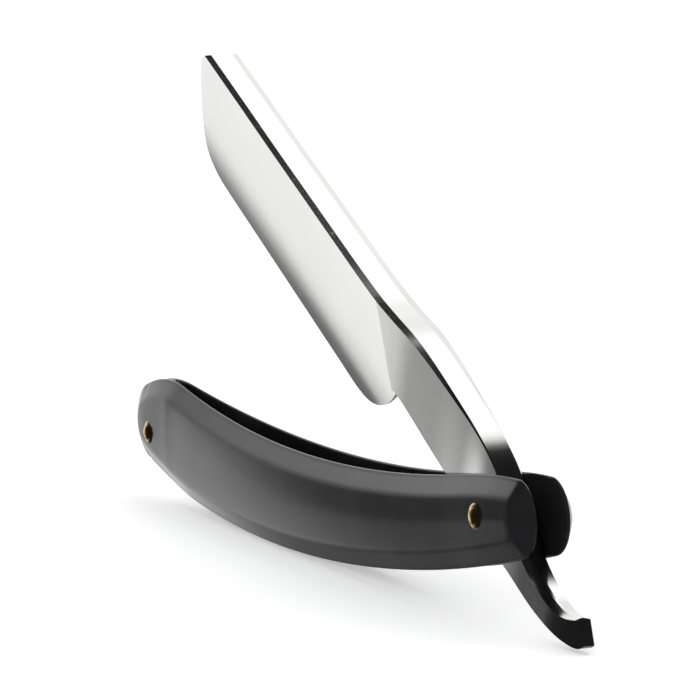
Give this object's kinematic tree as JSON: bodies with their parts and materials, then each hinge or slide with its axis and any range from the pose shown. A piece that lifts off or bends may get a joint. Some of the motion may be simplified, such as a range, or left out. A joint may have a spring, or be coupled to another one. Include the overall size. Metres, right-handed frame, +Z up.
{
  "type": "straight razor",
  "caption": "Folding straight razor with a hollow-ground steel blade pinned between two glossy black scales.",
  "frame": {"origin": "on the ground under the middle of the object's box, with the handle standing on its lower edge and the blade open by 26.7 degrees", "axes": "+Z up, +X along the handle towards the pivot pin and the tail, Y across the handle from the front scale (-Y) to the back scale (+Y)"},
  "size_m": [0.172, 0.0112, 0.076],
  "materials": {
    "polished_steel": "mirror polished",
    "black_scale": "gloss",
    "grey_spacer": "satin",
    "brass": "polished"
  },
  "bodies": {
    "handle": {"front_scale": "black_scale", "back_scale": "black_scale", "wedge": "grey_spacer", "pivot_pin": "brass", "wedge_pin": "brass", "front_pivot_collar": "brass", "back_pivot_collar": "brass", "front_wedge_collar": "brass", "back_wedge_collar": "brass", "front_thrust_washer": "brass", "back_thrust_washer": "brass"},
    "blade": {"blade": "polished_steel"}
  },
  "joints": [
    {"name": "blade_pivot", "type": "hinge", "parent": "handle", "child": "blade", "pos_m": [0.0586, 0, 0.0163], "axis": [0, 1, 0], "range_deg": [-23, 243.3]}
  ]
}
